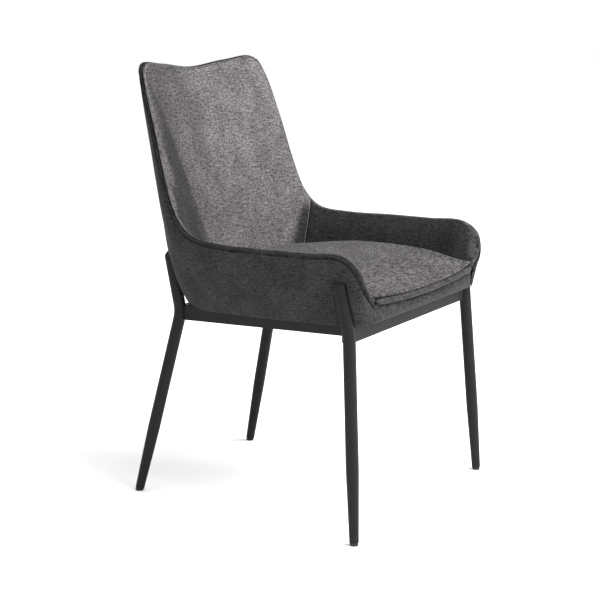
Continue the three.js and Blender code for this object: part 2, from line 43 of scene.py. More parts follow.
# ---- Legs --------------------------------------------------------------------------------
# Four steel tubes, bent where the rails meet them and drawn down towards the foot, each closed
# on the slant by a welded oval cap. The whole frame is sprayed with matte black powder.


class Finish:
    """One socket of a material. Arithmetic on it adds Math nodes; node() adds any other node."""

    def __init__(self, tree, socket=None):
        self.tree = tree
        self.socket = socket

    def node(self, kind, inputs, output=0, **settings):
        made = self.tree.nodes.new(kind)
        stops = settings.pop("stops", None)
        for name, value in settings.items():
            setattr(made, name, value)
        if stops:
            ramp = made.color_ramp.elements
            while len(ramp) < len(stops):
                ramp.new(0.5)
            for element, (place, colour) in zip(ramp, stops):
                element.position = place
                element.color = (*colour, 1)
        for name, value in inputs.items():
            if isinstance(value, Finish):
                self.tree.links.new(value.socket, made.inputs[name])
            else:
                made.inputs[name].default_value = value
        return Finish(self.tree, made.outputs[output])

    def maths(self, operation, *values):
        return self.node("ShaderNodeMath", dict(enumerate(values)), operation=operation)

    def __add__(self, other):
        return self.maths("ADD", self, other)

    def __radd__(self, other):
        return self.maths("ADD", other, self)

    def __sub__(self, other):
        return self.maths("SUBTRACT", self, other)

    def __rsub__(self, other):
        return self.maths("SUBTRACT", other, self)

    def __mul__(self, other):
        return self.maths("MULTIPLY", self, other)

    def __rmul__(self, other):
        return self.maths("MULTIPLY", other, self)

    def __pow__(self, other):
        return self.maths("POWER", self, other)

    def between(self, low, high):
        """0 below low, 1 above high and smooth between them."""
        values = {"Value": self, "From Min": low, "From Max": high}
        return self.node("ShaderNodeMapRange", values, interpolation_type="SMOOTHSTEP")

    def colour(self, share, first, second):
        """A colour that goes from first to second as share goes from 0 to 1."""
        values = {0: share, 6: first, 7: second}
        return self.node("ShaderNodeMix", values, 2, data_type="RGBA")

    def scaled(self, vector, scale):
        """A place or a surface coordinate with each direction multiplied by its own scale."""
        values = {0: vector, 1: scale}
        return self.node("ShaderNodeVectorMath", values, operation="MULTIPLY")

    def specks(self, vector, size, detail=2.0, roughness=0.5):
        """Cloudy noise with features of the given size in metres, from 0 to 1."""
        values = {"Vector": vector, "Scale": 1 / size, "Detail": detail, "Roughness": roughness}
        return self.node("ShaderNodeTexNoise", values)

    def bump(self, height, distance, strength=1.0, normal=None):
        values = {"Height": height, "Distance": distance, "Strength": strength}
        if normal:
            values["Normal"] = normal
        return self.node("ShaderNodeBump", values)


def new_finish(name, **constants):
    """A material with one Principled surface, its constants set on the shader's own sockets."""
    material = bpy.data.materials.new(name)
    material.use_nodes = True
    tree = material.node_tree
    surface = tree.nodes["Principled BSDF"]
    for socket, value in constants.items():
        surface.inputs[socket.replace("_", " ")].default_value = value
    return material, Finish(tree), surface


def wire(finish, surface, **links):
    for socket, value in links.items():
        finish.tree.links.new(value.socket, surface.inputs[socket.replace("_", " ")])


def powder_coat():
    """Matte black powder: a fine orange peel, with slightly duller and greyer patches."""
    material, finish, surface = new_finish("powder_coat", Specular_IOR_Level=0.12)
    place = finish.node("ShaderNodeTexCoord", {}, "Object")
    patches = finish.specks(place, 0.06, 3.0)
    peel = finish.specks(place, 0.0016, 2.0)
    grit = finish.specks(place, 0.0005, 1.0)
    deep, dull = (0.0085, 0.0085, 0.0090, 1), (0.0110, 0.0110, 0.0115, 1)
    colour = finish.colour(patches.between(0.3, 0.7), deep, dull)
    colour = finish.colour(grit.between(0.62, 0.8), colour, (0.020, 0.020, 0.021, 1))
    roughness = 0.46 + patches * 0.12
    normal = finish.bump(peel * 0.8 + grit * 0.2, 0.00018, 0.55)
    wire(finish, surface, Base_Color=colour, Roughness=roughness, Normal=normal)
    return material


POWDER_COAT = powder_coat()
DEPTH_CENTRE = 247.25


def placed(x, y, z):
    """A point in the row's frame, in metres, from millimetres with y from the front leg line."""
    return Vector((x, y - DEPTH_CENTRE, z)) * MM


def finished(bm, name, material):
    """Turns a closed bmesh into a piece that rides on the chair."""
    mesh = bpy.data.meshes.new(name)
    bm.to_mesh(mesh)
    bm.free()
    piece = bpy.data.objects.new(name, mesh)
    bpy.context.scene.collection.objects.link(piece)
    mesh.materials.append(material)
    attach(piece, "root")
    return piece


def merged_copy(node):
    """The CAD piece's own surface as a bmesh, welded along its triangles' edges."""
    bm = bmesh.new()
    bm.from_mesh(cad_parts[node].data)
    bmesh.ops.remove_doubles(bm, verts=bm.verts, dist=2e-6)
    bmesh.ops.dissolve_limit(bm, angle_limit=math.radians(0.6), verts=bm.verts, edges=bm.edges)
    return bm


def smooth_up_to(bm, degrees):
    """Smooth shading, with a hard line only where two faces meet at more than this angle."""
    for face in bm.faces:
        face.smooth = True
    for edge in bm.edges:
        edge.smooth = len(edge.link_faces) == 2 and edge.calc_face_angle() < math.radians(degrees)


CORNERS = ["front_left", "front_right", "rear_left", "rear_right"]
CAP_ROUNDING = 1.0 * MM


def surface_of(piece):
    """The piece's faces as a tree that finds the nearest of them to a point."""
    mesh = piece.data
    return BVHTree.FromPolygons([v.co for v in mesh.vertices], [p.vertices for p in mesh.polygons])


leg_surfaces = []
for corner in CORNERS:
    tube = merged_copy(f"{corner}_leg")
    cap_edges = [
        edge
        for edge in tube.edges
        if len(edge.link_faces) == 2
        and edge.calc_face_angle() > math.radians(25)
        and edge.verts[0].co.z > 0.4
        and any(face.normal.z > 0.6 for face in edge.link_faces)
    ]
    bmesh.ops.bevel(
        tube, geom=cap_edges, offset=CAP_ROUNDING, segments=3, profile=0.5, material=-1, affect="EDGES"
    )
    smooth_up_to(tube, 40)
    leg = finished(tube, f"{corner}_leg_tube", POWDER_COAT)
    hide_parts(f"{corner}_leg")
    leg_surfaces.append(surface_of(leg))

# ---- Glides ------------------------------------------------------------------------------
# A moulded black nylon plug pushed into the end of each leg, cut level with the floor.


def nylon():
    """Black nylon, scuffed paler where it meets the floor."""
    material, finish, surface = new_finish("nylon", Specular_IOR_Level=0.4)
    place = finish.node("ShaderNodeTexCoord", {}, "Object")
    scuffs = finish.specks(finish.scaled(place, (1, 1, 4)), 0.004, 3.0)
    colour = finish.colour(scuffs.between(0.55, 0.8), (0.010, 0.010, 0.011, 1), (0.032, 0.032, 0.033, 1))
    normal = finish.bump(scuffs, 0.0002, 0.4)
    wire(finish, surface, Base_Color=colour, Roughness=0.5 + scuffs * 0.2, Normal=normal)
    return material


NYLON = nylon()
for corner in CORNERS:
    plug = merged_copy(f"{corner}_glide")
    smooth_up_to(plug, 35)
    glide = finished(plug, f"{corner}_foot_plug", NYLON)
    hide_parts(f"{corner}_glide")

# ---- Rails and corner plates -------------------------------------------------------------
# Rectangular steel tube, welded to the inner halves of the legs, with rounded long edges. Flat
# plates in the corners take the seat's bolts. Sprayed together with the legs.

RAIL_EDGE_RADIUS = 2.2 * MM


def off_axis(edge, middle):
    """How far a long edge runs from the tube's middle line."""
    along = (edge.verts[1].co - edge.verts[0].co).normalized()
    return (edge.verts[0].co - middle).cross(along).length


for side in ("front", "rear", "left", "right"):
    tube = merged_copy(f"{side}_rail")
    long_edges = [
        edge
        for edge in tube.edges
        if edge.calc_length() > 0.2 and len(edge.link_faces) == 2 and edge.calc_face_angle() > 1.0
    ]
    middle = sum((vert.co for vert in tube.verts), Vector()) / len(tube.verts)
    reach = max(off_axis(edge, middle) for edge in long_edges)
    # The outer long edges only: the bore's edges lie nearer the rail's middle line.
    outer_edges = [edge for edge in long_edges if off_axis(edge, middle) > 0.93 * reach]
    bmesh.ops.bevel(
        tube, geom=outer_edges, offset=RAIL_EDGE_RADIUS, segments=4, profile=0.5, material=-1, affect="EDGES"
    )
    smooth_up_to(tube, 30)
    rail = finished(tube, f"{side}_rail_tube", POWDER_COAT)
    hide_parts(f"{side}_rail")
for corner in CORNERS:
    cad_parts[f"{corner}_corner_plate"].data.materials.clear()
    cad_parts[f"{corner}_corner_plate"].data.materials.append(POWDER_COAT)

# ---- Seat board and plywood shell --------------------------------------------------------
# The seat board is 12 mm plywood; the arms and the back are bent plywood glued into one shell.


def plywood():
    """Pale birch plywood with long grain and short darker pores."""
    material, finish, surface = new_finish("plywood", Specular_IOR_Level=0.3)
    place = finish.node("ShaderNodeTexCoord", {}, "Object")
    grain = finish.specks(finish.scaled(place, (12, 1, 12)), 0.03, 6.0, 0.6)
    pores = finish.specks(finish.scaled(place, (10, 0.6, 10)), 0.004, 2.0)
    colour = finish.colour(grain.between(0.3, 0.7), (0.60, 0.42, 0.24, 1), (0.42, 0.27, 0.14, 1))
    colour = finish.colour(pores.between(0.62, 0.75) * 0.5, colour, (0.22, 0.13, 0.06, 1))
    normal = finish.bump(grain + pores, 0.0003, 0.4)
    wire(finish, surface, Base_Color=colour, Roughness=0.62 + grain * 0.2, Normal=normal)
    return material


PLYWOOD = plywood()
for node in ("seat_board", "left_core", "back_core", "right_core"):
    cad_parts[node].data.materials.clear()
    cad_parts[node].data.materials.append(PLYWOOD)

# ---- Seat fixings ------------------------------------------------------------------------
# Zinc-plated bolts go up through washers and the corner plates into tee nuts in the board.


def zinc_plate():
    """Bright zinc with a faint mottled spangle."""
    material, finish, surface = new_finish("zinc_plate", Metallic=1.0)
    place = finish.node("ShaderNodeTexCoord", {}, "Object")
    spangle = finish.specks(place, 0.003, 4.0)
    colour = finish.colour(spangle, (0.50, 0.51, 0.53, 1), (0.68, 0.68, 0.66, 1))
    normal = finish.bump(spangle, 0.0001, 0.3)
    wire(finish, surface, Base_Color=colour, Roughness=0.26 + spangle * 0.2, Normal=normal)
    return material


ZINC = zinc_plate()
for corner in CORNERS:
    for part in ("seat_bolt", "washer", "tee_nut"):
        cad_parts[f"{corner}_{part}"].data.materials.clear()
        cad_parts[f"{corner}_{part}"].data.materials.append(ZINC)

# ---- Dust cover --------------------------------------------------------------------------
# Black spunbonded liner, stretched under the seat board and stapled round its edge, with a hole
# for each bolt. It hangs a little in the middle and between its staples.

LINER_SAG = 2.6 * MM
LINER_PUCKER = 0.35 * MM
LINER_CELL = 0.012


def spunbond():
    """Thin black felt with rows of pressed dots and longer pale fibres."""
    material, finish, surface = new_finish("spunbond", Specular_IOR_Level=0.2, Sheen_Weight=0.2)
    place = finish.node("ShaderNodeTexCoord", {}, "Object")
    dots = finish.node("ShaderNodeTexVoronoi", {"Vector": place, "Scale": 600, "Randomness": 0.15})
    fibres = finish.specks(finish.scaled(place, (1, 0.2, 1)), 0.0012, 4.0, 0.7)
    colour = finish.colour(fibres.between(0.4, 0.75), (0.010, 0.010, 0.011, 1), (0.034, 0.034, 0.036, 1))
    normal = finish.bump(dots + fibres * 0.4, 0.0003, 0.5)
    wire(finish, surface, Base_Color=colour, Roughness=0.72 + fibres * 0.2, Normal=normal)
    return material


liner = merged_copy("dust_cover")
corners = [vert.co.copy() for vert in liner.verts]
low = Vector(min(co[axis] for co in corners) for axis in range(3))
high = Vector(max(co[axis] for co in corners) for axis in range(3))
for axis in range(2):
    for count in range(1, int((high[axis] - low[axis]) / LINER_CELL) + 1):
        cut = Vector((0, 0, 0))
        cut[axis] = low[axis] + count * LINER_CELL
        normal = Vector((1, 0, 0)) if axis == 0 else Vector((0, 1, 0))
        everything = liner.verts[:] + liner.edges[:] + liner.faces[:]
        bmesh.ops.bisect_plane(liner, geom=everything, plane_co=cut, plane_no=normal)
for vert in liner.verts:
    across = 2 * (vert.co.x - low.x) / (high.x - low.x) - 1
    deep = 2 * (vert.co.y - low.y) / (high.y - low.y) - 1
    inside = (1 - across**2) * (1 - deep**2)
    pucker = math.sin(vert.co.x * 120) * math.sin(vert.co.y * 110)
    vert.co.z -= LINER_SAG * inside + LINER_PUCKER * pucker * inside
smooth_up_to(liner, 40)
liner_area = sum(face.calc_area() for face in liner.faces) / 2
liner_sheet = finished(liner, "dust_cover_liner", spunbond())
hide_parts("dust_cover")

# ---- Linings of the arms and the back ----------------------------------------------------
# Charcoal chenille over foam, sewn in three panels that meet at seams beside the back and roll
# over the rim to the edge band. The shell's wall is laid out from the lines of its seams.

# Left half from the seat's front corner to the middle of the back's top: the lining's rim, the
# cover's rim, the cover's hem and the lining's root, in millimetres.
SEAM_POINTS = [
    ((217, -31, 468), (225, -34, 449), (224, -31, 420), (203, -20, 447)),
    ((247, -29, 491), (258, -31, 484), (244, -20, 422), (205, -12, 447)),
    ((261, -17, 530), (274, -16, 524), (253, -2, 422), (207, 2, 446)),
    ((261, 12, 552), (274, 12, 544), (257, 24, 420), (207, 20, 445)),
    ((264, 90, 552), (278, 90, 544), (247, 90, 416), (206, 90, 442)),
    ((267, 190, 552), (281, 190, 544), (231, 190, 410), (203, 190, 438)),
    ((260, 290, 552), (273, 293, 545), (215, 290, 406), (196, 285, 434)),
    ((250, 358, 562), (260, 369, 557), (203, 356, 403), (182, 345, 432)),
    ((247, 395, 597), (252, 409, 596), (190, 395, 401), (165, 378, 431)),
    ((242, 424, 668), (246, 438, 668), (166, 424, 400), (145, 394, 431)),
    ((235, 450, 755), (238, 464, 755), (138, 436, 400), (120, 402, 431)),
    ((224, 482, 850), (226, 497, 851), (104, 442, 400), (92, 407, 431)),
    ((207, 498, 886), (208, 513, 890), (80, 444, 400), (72, 409, 431)),
    ((120, 512, 885), (120, 527, 888), (45, 445, 400), (40, 410, 431)),
    ((0, 522, 874), (0, 537, 877), (0, 446, 400), (0, 410, 431)),
]
LAST = len(SEAM_POINTS) - 1
LINING_RIM, COVER_RIM, HEM, ROOT = range(4)
OUTER_SWELL = [2, 2, 2, 3, 7, 9, 10, 12, 13, 15, 16, 12, 9, 8, 8]
INNER_SWELL = [6, 10, 14, 16, 17, 17, 16, 12, 10, 8, 8, 8, 8, 10, 12]
# The lower back is fuller still, just above the rear legs.
HIP_SWELL = [0, 0, 0, 0, 0, 0, 0, 1, 3, 5, 6, 5, 3, 2, 1]
HIP_HEIGHT = 0.3
COVER_SEAM = 11.5
LINING_SEAM = 7.5
BAND_SEAM = 12


@functools.lru_cache(maxsize=None)
def seam(line, station):
    """A point on one of the four lines: 0 at the left front corner, LAST at the back's middle."""
    points = [placed(*row[line]) for row in SEAM_POINTS]
    points += [Vector((-p.x, p.y, p.z)) for p in reversed(points[:LAST])]
    low = min(int(station), 2 * LAST - 1)
    share = station - low
    p1, p2 = points[low], points[low + 1]
    p0 = points[low - 1] if low > 0 else p1 * 2 - p2
    p3 = points[low + 2] if low + 2 <= 2 * LAST else p2 * 2 - p1
    d0, d1, d2 = (math.sqrt((b - a).length) for a, b in ((p0, p1), (p1, p2), (p2, p3)))
    t1 = ((p1 - p0) / d0 - (p2 - p0) / (d0 + d1) + (p2 - p1) / d1) * d1
    t2 = ((p2 - p1) / d1 - (p3 - p1) / (d1 + d2) + (p3 - p2) / d2) * d1
    cubic = (p1 - p2) * 2 + t1 + t2
    square = (p2 - p1) * 3 - t1 * 2 - t2
    return cubic * share**3 + square * share**2 + t1 * share + p1


def between_stations(values, station):
    folded = min(station, 2 * LAST - station)
    low = min(int(folded), LAST - 1)
    return (values[low] + (values[low + 1] - values[low]) * (folded - low)) * MM


@functools.lru_cache(maxsize=None)
def outwards(station):
    """The horizontal direction out of the shell's wall."""
    out = seam(COVER_RIM, station) + seam(HEM, station) - seam(LINING_RIM, station) - seam(ROOT, station)
    out.z = 0
    return out.normalized()


def wall(station, depth, height):
    """A point of the wall: depth 0 on the cover's face and 1 on the lining's, height 1 at the rim."""
    full = 1 - abs(2 * height - 1) ** 3
    outer = seam(HEM, station).lerp(seam(COVER_RIM, station), height)
    hips = 1 - min(abs(height - HIP_HEIGHT) / HIP_HEIGHT, 1) ** 2
    swell = between_stations(OUTER_SWELL, station) * full + between_stations(HIP_SWELL, station) * hips
    outer += outwards(station) * swell
    inner = seam(ROOT, station).lerp(seam(LINING_RIM, station), height)
    inner -= outwards(station) * between_stations(INNER_SWELL, station) * full
    return outer.lerp(inner, depth)


@functools.lru_cache(maxsize=None)
def run(station):
    """How far along the wall a station lies, measured level at half the wall's height."""
    if station <= 0:
        return 0.0
    before = max(0.0, math.ceil(station * 8 - 1) / 8)
    if before >= station:
        before = max(0.0, station - 0.125)
    step = wall(station, 0, 0.5) - wall(before, 0, 0.5)
    step.z = 0
    return run(before) + step.length


def crowded(share, first, last, loops):
    """Moves evenly spaced loops so that the outer ones crowd into the rolled edges."""
    if share < loops:
        return share / loops * first
    if share > 1 - loops:
        return 1 - (1 - share) / loops * last
    return first + (share - loops) / (1 - 2 * loops) * (1 - first - last)


def rolled(distance, radius):
    """How far a rolled edge has dropped at a distance in from the seam."""
    inside = max(radius - max(distance, 0.0), 0.0)
    return radius - math.sqrt(max(radius**2 - inside**2, 0.0))


def smooth_share(value, low, high):
    """0 below low, 1 above high and smooth between them."""
    share = min(max((value - low) / (high - low), 0.0), 1.0)
    return share * share * (3 - 2 * share)


def block(columns, rows, layers=1):
    """A closed block of quads in a unit cube, its face in x and y and its thickness in z."""
    bm = bmesh.new()
    bmesh.ops.create_grid(bm, x_segments=columns, y_segments=rows, size=0.5)
    bmesh.ops.translate(bm, verts=bm.verts, vec=(0.5, 0.5, 0))
    made = bmesh.ops.extrude_face_region(bm, geom=bm.faces[:])
    copies = [item for item in made["geom"] if isinstance(item, bmesh.types.BMVert)]
    bmesh.ops.translate(bm, verts=copies, vec=(0, 0, 1))
    if layers > 1:
        uprights = [edge for edge in bm.edges if abs(edge.verts[0].co.z - edge.verts[1].co.z) > 0.5]
        bmesh.ops.subdivide_edges(bm, edges=uprights, cuts=layers - 1)
    return bm


# The level direction whose faces get the palest painted light. This and each piece's shades are
# fitted tones of painted light and shade, not properties measured on a cloth.
PAINTED_LIGHT_FACING = Vector((-0.28, -0.96))


def turned_outwards(bm):
    """Points all faces of a closed form outwards."""
    bmesh.ops.recalc_face_normals(bm, faces=bm.faces)
    if bm.calc_volume(signed=True) < 0:
        bmesh.ops.reverse_faces(bm, faces=bm.faces)
    bm.normal_update()


def shaped(bm, place, weave):
    """Moves the unit cube's points to their places and lays the weave over them, in metres."""
    uv = bm.loops.layers.uv.new("weave")
    painted_light = bm.loops.layers.uv.new("painted_light")
    laid = {}
    for vert in bm.verts:
        cube = vert.co.copy()
        vert.co = place(*cube)
        laid[vert] = weave(cube, vert.co)
    turned_outwards(bm)
    for face in bm.faces:
        face.smooth = True
        for loop in face.loops:
            loop[uv].uv = laid[loop.vert]
            # Painted light and shade: pale where faces turn to the front and the sitter's right, else dark.
            level = loop.vert.normal.xy
            nap_and_light_facing = level.normalized().dot(PAINTED_LIGHT_FACING) if level.length > 0.2 else 0.0
            loop[painted_light].uv = (smooth_share(nap_and_light_facing, 0.84, 0.985), 0)
    return bm


def pushed_clear(point, surfaces, direction, gap):
    """Moves a point along a direction until it is outside the given tubes."""
    for _ in range(24):
        for surface in surfaces:
            nearest, normal, _, _ = surface.find_nearest(point)
            if (point - nearest).length < 0.05 and (point - nearest).dot(normal) < gap:
                point = point + direction * MM
                break
        else:
            return point
    return point


EDGE_LOOPS = 5
LEG_GAP = 0.5 * MM
LEGS_END = 0.53


def panel(name, span, heights, depths, cells, rolls, material):
    """A sewn panel of the wall as a closed, padded form: its face rolls in at all four seams.

    rolls gives the radius at the panel's start, end, bottom and top; the face lies at depths[0].
    """
    columns, rows = cells
    start, end, bottom, top = rolls
    first = run(span[0])
    length = run(span[1]) - first
    facing = 1 if depths[0] < depths[1] else -1

    def place(share, rise, deep):
        station = crowded(share, start / length, end / length, EDGE_LOOPS / columns)
        station = span[0] + (span[1] - span[0]) * station
        tall = (wall(station, depths[0], heights[1]) - wall(station, depths[0], heights[0])).length
        climb = crowded(rise, bottom / tall, top / tall, EDGE_LOOPS / rows)
        height = heights[0] + (heights[1] - heights[0]) * climb
        out = outwards(station)
        if deep > 0.5:
            # The cloth is turned in thin where it passes the rails.
            thin = smooth_share(height, 0.08, 0.24) if facing > 0 else 1
            point = wall(station, depths[0] + (depths[1] - depths[0]) * (0.2 + 0.8 * thin), height)
            if facing > 0 and point.z < LEGS_END:
                point = pushed_clear(point, leg_surfaces, -out, LEG_GAP + MM)
            return point
        along = run(station) - first
        ends = max(rolled(along, start), rolled(length - along, end))
        sides = max(rolled(climb * tall, bottom), rolled((1 - climb) * tall, top))
        point = wall(station, depths[0], height) - out * facing * math.hypot(ends, sides)
        if facing > 0 and point.z < LEGS_END:
            point = pushed_clear(point, leg_surfaces, -out, LEG_GAP)
        return point

    def weave(cube, point):
        station = span[0] + (span[1] - span[0]) * cube.x
        out = outwards(station)
        level = Vector((-out.y, out.x, 0))
        return run(station) + (point - wall(station, depths[0], 0.5)).dot(level), point.z

    return finished(shaped(block(columns, rows), place, weave), name, material)


def chenille(name, shades, gloss=0.1, grain=1.0, even=0.04):
    """Charcoal chenille: short flecks in level rows of fat yarn, with the nap laid in clouds.

    shades are its painted shade and painted light: its tones where the piece's painted light map is
    0 and 1. A larger even gives a calmer pattern.
    """
    material, finish, surface = new_finish(
        name,
        Specular_IOR_Level=0.06,
        Sheen_Weight=gloss,
        Sheen_Roughness=0.35,
        Sheen_Tint=(0.88, 0.85, 0.87, 1),
    )
    place = finish.node("ShaderNodeUVMap", {}, uv_map="weave")
    flecks = finish.specks(finish.scaled(place, (0.6, 1, 1)), 0.0024 * grain, 2.0, 0.65)
    clumps = finish.specks(finish.scaled(place, (0.7, 1, 1)), 0.0066 * grain, 2.0, 0.6)
    rows = finish.specks(finish.scaled(place, (0.12, 1, 1)), 0.0026, 1.0)
    yarns = finish.specks(finish.scaled(place, (0.6, 1, 1)), 0.0008, 1.0)
    nap_and_light_facing = finish.specks(finish.scaled(place, (1, 0.8, 1)), 0.055, 4.0, 0.6)
    tone = flecks * 0.52 + clumps * 0.30 + rows * 0.18
    dark, pale = (0.0130, 0.0120, 0.0126, 1), (0.0960, 0.0905, 0.0925, 1)
    colour = finish.colour(tone.between(0.37 - even, 0.63 + even), dark, pale)
    # Painted light and shade: the tone follows the painted light map from the way each face turns.
    painted_light_map = finish.node("ShaderNodeUVMap", {}, uv_map="painted_light")
    painted_light = finish.node("ShaderNodeSeparateXYZ", {0: painted_light_map})
    shade = painted_light * (shades[1] - shades[0]) + shades[0]
    colour = finish.scaled(colour, shade * (0.84 + nap_and_light_facing.between(0.36, 0.68) * 0.34))
    normal = finish.bump(flecks * 0.5 + clumps * 0.2 + rows * 0.1 + yarns * 0.2, 0.0007, 0.6)
    normal = finish.bump(nap_and_light_facing, 0.003, 0.3, normal)
    wire(finish, surface, Base_Color=colour, Roughness=0.86 + flecks * 0.12, Normal=normal)
    return material


# Painted light and shade: pale where a lining faces the front light, dark where it turns away.
BACK_CHENILLE = chenille("chenille_back", (0.36, 1.52), grain=0.8, even=-0.02)
ARM_CHENILLE = chenille("chenille_arm", (0.27, 0.60), grain=0.8, even=0.02)
LINING_ROLL = 3.2 * MM
LINING_BACK = 0.66
END_GAP = 0.012
lining_spans = {
    "left_arm_lining": (END_GAP, LINING_SEAM - END_GAP),
    "back_lining": (LINING_SEAM + END_GAP, 2 * LAST - LINING_SEAM - END_GAP),
    "right_arm_lining": (2 * LAST - LINING_SEAM + END_GAP, 2 * LAST - END_GAP),
}
for node, span in lining_spans.items():
    cells = (110, 34) if "arm" in node else (150, 90)
    rolls = (LINING_ROLL,) * 4
    fabric = ARM_CHENILLE if "arm" in node else BACK_CHENILLE
    lining = panel(f"{node}_padding", span, (0.1, 1.0), (1.0, LINING_BACK), cells, rolls, fabric)
    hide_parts(node)

# ---- Outer covers ------------------------------------------------------------------------
# Chenille over thin wadding, stretched over the outside of the shell. The arm covers run round
# to the back, where two seams rise to the ears; the hem is turned in over the rails.

# Painted shade: the covers are the same chenille painted darker, as they face away from the light.
COVER_CHENILLE = chenille("chenille_cover", (0.50, 0.58), grain=0.8, even=0.06)
COVER_DEPTH = 0.25
COVER_ROLL = 3.2 * MM
HEM_ROLL = 3.8 * MM
LEG_REACH = 30 * MM


def settled(cover):
    """Smooths the cloth round the legs and takes it clear of them again."""
    bm = bmesh.new()
    bm.from_mesh(cover.data)
    low = [vert for vert in bm.verts if vert.co.z < LEGS_END]
    near = [
        vert
        for vert in low
        if min((vert.co - surface.find_nearest(vert.co)[0]).length for surface in leg_surfaces) < LEG_REACH
    ]
    for _ in range(4):
        bmesh.ops.smooth_vert(bm, verts=near, factor=0.5, use_axis_x=True, use_axis_y=True, use_axis_z=False)
        for vert in near:
            for surface in leg_surfaces:
                place, normal, _, far = surface.find_nearest(vert.co)
                if far < LEG_REACH and (vert.co - place).dot(normal) < LEG_GAP:
                    vert.co = place + normal * LEG_GAP
    bm.to_mesh(cover.data)
    bm.free()


cover_spans = {
    "left_outer_cover": (END_GAP, COVER_SEAM - END_GAP),
    "back_outer_cover": (COVER_SEAM + END_GAP, 2 * LAST - COVER_SEAM - END_GAP),
    "right_outer_cover": (2 * LAST - COVER_SEAM + END_GAP, 2 * LAST - END_GAP),
}
for node, span in cover_spans.items():
    cells = (100, 60) if "back" in node else (200, 60)
    rolls = (COVER_ROLL, COVER_ROLL, HEM_ROLL, COVER_ROLL)
    cover = panel(f"{node}_cloth", span, (-0.02, 1.0), (0.0, COVER_DEPTH), cells, rolls, COVER_CHENILLE)
    settled(cover)
    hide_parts(node)

# ---- Edge band ---------------------------------------------------------------------------
# A strip of the same chenille over a thin core, sewn all round the rim between the covers and
# the linings. It is painted darker as painted shade, and a fine welt in its inner seam is
# painted pale as a painted highlight. A mitred seam joins its pieces at each ear of the back.

# Painted shade on the band and a painted highlight on its welt, both the same chenille.
BAND_PAINTED_SHADE = chenille("chenille_band", (0.26, 0.26), 0.05)
WELT_PAINTED_HIGHLIGHT = chenille("chenille_welt", (0.95, 1.1), 0.2)
# Height above the rim's line, in millimetres, at shares of the way from the cover to the lining.
BAND_PROFILE = [
    (0, -2.2), (0.06, 0.6), (0.14, 2.4), (0.35, 3.3), (0.58, 2.7), (0.67, 0.4), (0.71, -0.8),
    (0.76, 1.6), (0.85, 3.4), (0.94, 1.8), (1, -1.2),
]
WELT_START = 0.71
NOSE_RISE = 3.0
BAND_FOOT = -3.4
band_spans = {
    "left_edge_band": (END_GAP, BAND_SEAM - END_GAP),
    "top_edge_band": (BAND_SEAM + END_GAP, 2 * LAST - BAND_SEAM - END_GAP),
    "right_edge_band": (2 * LAST - BAND_SEAM + END_GAP, 2 * LAST - END_GAP),
}


def band_height(across):
    """The band's profile, smooth between its listed points."""
    for (a, low), (b, high) in zip(BAND_PROFILE, BAND_PROFILE[1:]):
        if across <= b:
            return low + (high - low) * smooth_share(across, a, b)
    return BAND_PROFILE[-1][1]


for node, span in band_spans.items():

    def place(share, across, deep):
        station = span[0] + (span[1] - span[0]) * share
        outer, inner = seam(COVER_RIM, station), seam(LINING_RIM, station)
        ahead = seam(LINING_RIM, min(station + 0.02, 2 * LAST)) - seam(LINING_RIM, max(station - 0.02, 0))
        up = ahead.cross(inner - outer).normalized()
        folded = min(station, 2 * LAST - station)
        nose = smooth_share(folded, 0.2, 1.3) * (1 - smooth_share(folded, 1.9, 3.2))
        height = BAND_FOOT if deep > 0.5 else band_height(across) + NOSE_RISE * nose
        ends = rolled(min(share, 1 - share) * abs(run(span[1]) - run(span[0])), 1.2 * MM)
        return outer.lerp(inner, 0.03 + 0.94 * across) + up * (height * MM - (0 if deep > 0.5 else ends))

    def weave(cube, point):
        return run(span[0] + (span[1] - span[0]) * cube.x), cube.y * 0.016

    strip = shaped(block(110 if "top" in node else 260, 28), place, weave)
    band = finished(strip, f"{node}_strip", BAND_PAINTED_SHADE)
    band.data.materials.append(WELT_PAINTED_HIGHLIGHT)
    # Painted highlight: faces past the welt's start take the pale chenille.
    laid = band.data.uv_layers["weave"].data
    for face in band.data.polygons:
        across = sum(laid[index].uv[1] for index in face.loop_indices) / len(face.loop_indices) / 0.016
        face.material_index = 1 if across > WELT_START + 0.02 else 0
    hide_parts(node)

# ---- Seat cushion ------------------------------------------------------------------------
# Foam under the same chenille, filled tight between the linings on the seat board. It is highest
# in the middle, rolls down at the front and tucks in along the arms and the back.

SEAT_STATIONS = (0.35, 6.9)
SEAT_GAP = 1.2 * MM
SEAT_ROLL = 9 * MM
SEAT_FRONT_ROLL = 4 * MM
SEAT_BOTTOM = 447.3
SEAT_SLOPE = 0.06316
FRONT_BOW = 13 * MM
FRONT_SAG = 10 * MM
SEAT_CELLS = 64
SEAT_CROWN = 9 * MM
PUFF_LIMIT = 24 * MM
# Painted light and shade: the seat and the lip are the same chenille at tones set by the light.
SEAT_CHENILLE = chenille("chenille_seat", (0.84, 0.88), grain=1.3, even=-0.05)
LIP_CHENILLE = chenille("chenille_lip", (0.62, 0.62), even=0.0)


def seat_edge_height(y):
    """The cushion's height along an arm, in millimetres, at y from the front leg line."""
    return 470 + 30 * (1 - math.exp(-max(y + 30, 0) / 52)) - 14 * smooth_share(y, 200, 400)


def seat_edge(station, high):
    """A point of the cushion's side, against the linings: high runs from 0 below to 1 above."""
    root, rim = seam(ROOT, station), seam(LINING_RIM, station)
    y = wall(station, 1, 0.5).y / MM + DEPTH_CENTRE
    low = SEAT_BOTTOM - SEAT_SLOPE * y
    z = (low + (seat_edge_height(y) - low) * high) * MM
    height = min(max((z - root.z) / (rim.z - root.z), 0.0), 0.97)
    point = wall(station, 1, height) - outwards(station) * SEAT_GAP
    point.z = z
    return point


